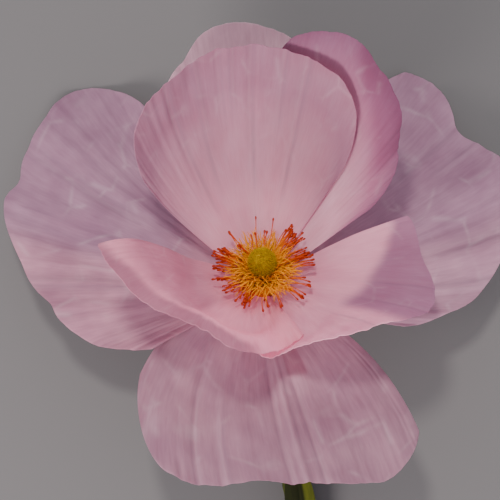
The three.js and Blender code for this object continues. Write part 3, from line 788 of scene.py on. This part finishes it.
def makeSepals():
    green = crepePaper("crimped crepe paper, dyed green", leafGreen)
    for k in range(sepal["count"]):
        middle = sepal["firstTurn"] + k * 360 / sepal["count"]
        sides = {side: [angle + middle for angle in sepal[side]] for side in ("base", "rim")}
        one = {**sepal, **sides, "seed": sepal["seed"] + k}
        points, faces, maps = paperSheet(*sheetGrid(one, 40, 40))
        meshPiece("creped_sepal_" + str(k + 1), points, faces, maps, green, "sepal_" + str(k + 1))
    print("sepals laid")


makeSepals()

# Stem: a wire bent behind the head, wound with a strip of green crepe whose turns overlap like scales
stem = {
    "radius": 4.0, "straight": 17, "along": 226, "slant": 10.5, "wireRadius": 1.0, "wireBeyond": 1,
    "stripMm": 7.5, "lapMm": 0.28, "top": -6.8, "bore": 1.3, "underCad": 0.08,
    "neckFrom": -6.2, "neckTo": -16.0, "neckBore": 8.0, "neckRadii": ([0, 6.8, 9.8], [8.5, 8.4, 4.75]),
}
lying = np.array([math.sin(math.radians(stem["slant"])), -math.cos(math.radians(stem["slant"])), 0])


def stemPath(top, end, step):
    # points every step mm: down the flower's axis, round the bend and along the table
    start = headOrigin - stem["straight"] * headZ
    bend = math.acos(-headZ @ lying)
    inward = lying + headZ * math.cos(bend)
    inward /= np.linalg.norm(inward)
    drop = math.sin(bend) * headZ[2] - (1 - math.cos(bend)) * inward[2]
    radius = (start[2] - stem["radius"]) / drop
    finish = start - headZ * radius * math.sin(bend) + inward * radius * (1 - math.cos(bend))
    handle = 4 / 3 * math.tan(bend / 4) * radius
    t = np.linspace(0, 1, 60)[:, None]
    a, b, c, d = start, start - headZ * handle, finish - lying * handle, finish
    curve = a * (1 - t)**3 + 3 * b * t * (1 - t)**2 + 3 * c * t**2 * (1 - t) + d * t**3
    rough = np.concatenate([[headOrigin + headZ * top], curve, [finish + lying * end]])
    gone = np.concatenate([[0], np.cumsum(np.linalg.norm(np.diff(rough, axis=0), axis=1))])
    even = np.linspace(0, gone[-1], int(gone[-1] / step) + 1)
    return np.stack([np.interp(even, gone, rough[:, k]) for k in range(3)], 1), finish


def woundTube(path, radiusAt, sides, bore):
    # a strip wound round a path: each turn's upper edge lies over the one before
    tangent = np.gradient(path, axis=0)
    tangent /= np.linalg.norm(tangent, axis=1)[:, None]
    plane = np.cross(lying, headZ)
    plane /= np.linalg.norm(plane)
    side = np.cross(plane, tangent)
    side /= np.linalg.norm(side, axis=1)[:, None]
    gone = np.concatenate([[0], np.cumsum(np.linalg.norm(np.diff(path, axis=0), axis=1))])
    turn = np.linspace(0, 2 * math.pi, sides + 1)
    lap = (gone[:, None] / stem["stripMm"] + turn[None, :] / (2 * math.pi)) % 1.0
    crinkle = 0.05 * unevenness(gone[:, None] / 1.2, turn[None, :] * 3, 33)
    radius = radiusAt(gone)[:, None] - stem["lapMm"] * lap + crinkle
    around = np.cos(turn)[None, :, None] * side[:, None] + np.sin(turn)[None, :, None] * plane
    outer = path[:, None] + radius[..., None] * around
    inner = path[[-1, 0], None] + bore * around[[-1, 0]]
    skin = np.concatenate([outer, inner], 0)
    flat = np.stack(np.broadcast_arrays(turn[None, :] * 4, np.append(gone, [gone[-1] + 3, 0])[:, None]), -1)
    place = np.zeros((*skin.shape[:2], 2))
    place[:, :, 1] = np.append(lap, np.full((2, sides + 1), 0.5), 0)
    faces = gridFaces(len(gone) + 1, sides + 1, flip=True).tolist()
    return skin.reshape(-1, 3), faces, {"paper": flat.reshape(-1, 2), "place": place.reshape(-1, 2)}


def makeStem():
    tape = crepePaper("green crepe strip, waxed and wound", {
        "crinkleMm": 0.8, "colour": "#434a18", "faded": "#343a10", "grooveShade": "#8a9460",
        "glow": 0.12, "grain": 0.6, "relief": 0.6, "sheen": 0.0, "seed": 14.0,
        # painted shade: each turn darker just under the next turn's edge
        "tints": [("#7d8850", 0.86, 1.0)],
    })
    path, finish = stemPath(stem["top"], stem["along"], 0.9)
    radius = lambda gone: np.full(gone.shape, stem["radius"] - stem["underCad"])
    points, faces, maps = woundTube(path, radius, 36, stem["bore"])
    meshPiece("wound_stem", points, faces, maps, tape, "stem_wrap")
    neck = np.array([headOrigin + headZ * h for h in np.linspace(stem["neckFrom"], stem["neckTo"], 40)])
    radius = lambda gone: np.interp(gone, *stem["neckRadii"])
    points, faces, maps = woundTube(neck, radius, 64, stem["neckBore"])
    meshPiece("wound_neck", points, faces, maps, tape, "neck_tape")
    path, finish = stemPath(pistil["height"] - 0.5, stem["along"] + stem["wireBeyond"], 3)
    # drawn steel wire, zinc dipped: a dull grey metal with fine rubbed streaks
    material, tree = newMaterial("drawn florist wire")
    rub = addNode(tree, "ShaderNodeTexNoise", {"Scale": 900, "Detail": 3}).outputs[0]
    rough = addNode(tree, "ShaderNodeMapRange", {"To Min": 0.35, "To Max": 0.6}, {"Value": rub}).outputs[0]
    face = addNode(tree, "ShaderNodeBsdfPrincipled", {"Base Color": hexToLinear("#8a8d88"), "Metallic": 1.0},
                   {"Roughness": rough}).outputs[0]
    addNode(tree, "ShaderNodeOutputMaterial", links={"Surface": face})
    points, faces, maps = tube(path, np.full(len(path), stem["wireRadius"] - 0.02), 12)
    meshPiece("florist_wire", points, faces, maps, material, "stem_wire")
    print("stem wound")
    return finish


bendFinish = makeStem()

# Leaf: its foot hugs the stem, and it opens out as it lifts towards the flower
# strip: where the painted shade on the leaf's left side gives way to the light strip on its right
leaf = {
    "length": 66, "start": 100, "widths": [7, 8.5, 10.5, 14, 11, 2], "hug": 0.3, "lift": 10.5, "arch": 8,
    "lean": -3, "opening": 10, "paper": 0.45, "gap": 0.3, "veinDepth": 0.3, "veinWidth": 0.7,
    "strip": (0.2, 0.4),
}


def makeLeaf():
    columns, rows = 41, 110
    x = np.linspace(-1, 1, columns)[:, None]
    share = np.linspace(0, 1, rows)[None, :]
    lean = math.radians(leaf["lean"])
    back = -lying
    ahead = np.array([back[0] * math.cos(lean) - back[1] * math.sin(lean),
                      back[0] * math.sin(lean) + back[1] * math.cos(lean), 0])
    sideways = -np.cross([0, 0, 1], ahead)
    foot = bendFinish + lying * leaf["start"]
    snug = stem["radius"] + leaf["gap"] + leaf["paper"] / 2
    length = share * leaf["length"]
    slope = np.radians(leaf["lift"] * smooth(share, 0, leaf["hug"]) - leaf["arch"] * share**2)
    halfWidth = along(leaf["widths"], share) / 2 - 0.15 + 0.15 * wobble(share * 30, 61)
    hug = snug + leaf["opening"] * share
    turn = x * halfWidth / hug
    vein = -leaf["veinDepth"] * np.exp(-(x * halfWidth / leaf["veinWidth"])**2)
    vein = vein + 0.12 * wobble(x * 14, 62) * (1 - share)

    def at(offset):
        radius = hug + offset + vein
        z = length * np.tan(slope) + snug - hug + radius * np.cos(turn)
        level = foot + length[..., None] * ahead + (radius * np.sin(turn))[..., None] * sideways
        level[..., 2] += z
        return level

    flat = np.stack(np.broadcast_arrays(x * halfWidth, length), -1)
    place = np.stack(np.broadcast_arrays((x + 1) / 2, share), -1)
    # painted shade: the leaf's left side darker in its shade colour, its right strip light
    tone = np.broadcast_to(1 - smooth(x, *leaf["strip"]), turn.shape)
    points, faces, maps = paperSheet(at(leaf["paper"] / 2), at(-leaf["paper"] / 2), flat, place, tone)
    blade = crepePaper("crimped crepe paper, dyed leaf green", {
        **leafGreen, "colour": "#6e741c", "faded": "#5c6418", "seed": 15.0, "shade": "#5c6042",
    })
    meshPiece("creped_leaf", points, faces, maps, blade, "stem_leaf")
    print("leaf laid")


makeLeaf()

# Camera: looking down on the flower, at the photograph's angle
camera = {
    "elevation": 83, "distanceMm": 1000, "mmPerPixel": 0.42, "pixels": 500, "sensorMm": 36,
    "aimRightMm": -5.04, "aimUpMm": 15.54,
}


def setCamera():
    rise = math.radians(camera["elevation"])
    away = np.array([0, -math.cos(rise), math.sin(rise)])
    up = np.array([0, math.sin(rise), math.cos(rise)])
    aim = headOrigin + camera["aimRightMm"] * headX + camera["aimUpMm"] * up
    lens = bpy.data.cameras.new("camera")
    lens.sensor_width = camera["sensorMm"]
    lens.lens = camera["sensorMm"] * camera["distanceMm"] / (camera["pixels"] * camera["mmPerPixel"])
    lens.clip_start = 0.05
    lens.clip_end = 20
    seat = bpy.data.objects.new("camera", lens)
    seat.location = Vector((aim + away * camera["distanceMm"]) * mm)
    seat.rotation_euler = (math.radians(90) - rise, 0, 0)
    bpy.context.scene.collection.objects.link(seat)
    bpy.context.scene.camera = seat
    return aim, away, up


aim, towardsCamera, viewUp = setCamera()

# Studio: a plain floor, one main soft light near the camera, one low fill, and an even sky.
# Each light's place is given right, up and towards the camera as the picture sees it.
studio = {
    "floor": "#5f5e60", "floorMetres": 8, "sky": "#e9e8ec", "skyStrength": 1.25,
    "key": {"from": (-0.10, 0.385, 1.0), "distance": 1.5, "size": 0.16, "watts": 15, "colour": "#fff6ec"},
    "fill": {"from": (-0.6, -0.95, 0.9), "distance": 1.2, "size": 0.45, "watts": 19, "colour": "#fff4ee"},
}


def setStudio():
    bpy.ops.mesh.primitive_plane_add(size=studio["floorMetres"], location=(0, 0, 0))
    floor = bpy.context.object
    floor.name = "studio_floor"
    # rolled matt paint: an even, dry face that takes soft shadows
    material, tree = newMaterial("painted studio floor")
    face = addNode(tree, "ShaderNodeBsdfPrincipled",
                   {"Base Color": hexToLinear(studio["floor"]), "Roughness": 0.9,
                    "Specular IOR Level": 0.2}).outputs[0]
    addNode(tree, "ShaderNodeOutputMaterial", links={"Surface": face})
    floor.data.materials.append(material)
    for name in ("key", "fill"):
        lamp = studio[name]
        right, up, out = lamp["from"]
        way = right * headX + up * viewUp + out * towardsCamera
        way /= np.linalg.norm(way)
        light = bpy.data.lights.new(name + " light", "AREA")
        light.shape = "DISK"
        light.size = lamp["size"]
        light.energy = lamp["watts"]
        light.color = hexToLinear(lamp["colour"])[:3]
        stand = bpy.data.objects.new(name + " light", light)
        stand.location = Vector(aim * mm + way * lamp["distance"])
        stand.rotation_euler = Vector(way).to_track_quat("Z", "Y").to_euler()
        bpy.context.scene.collection.objects.link(stand)
    world = bpy.data.worlds.new("studio")
    bpy.context.scene.world = world
    world.use_nodes = True
    background = world.node_tree.nodes["Background"]
    background.inputs[0].default_value = hexToLinear(studio["sky"])
    background.inputs[1].default_value = studio["skyStrength"]
    print("studio lit")


setStudio()
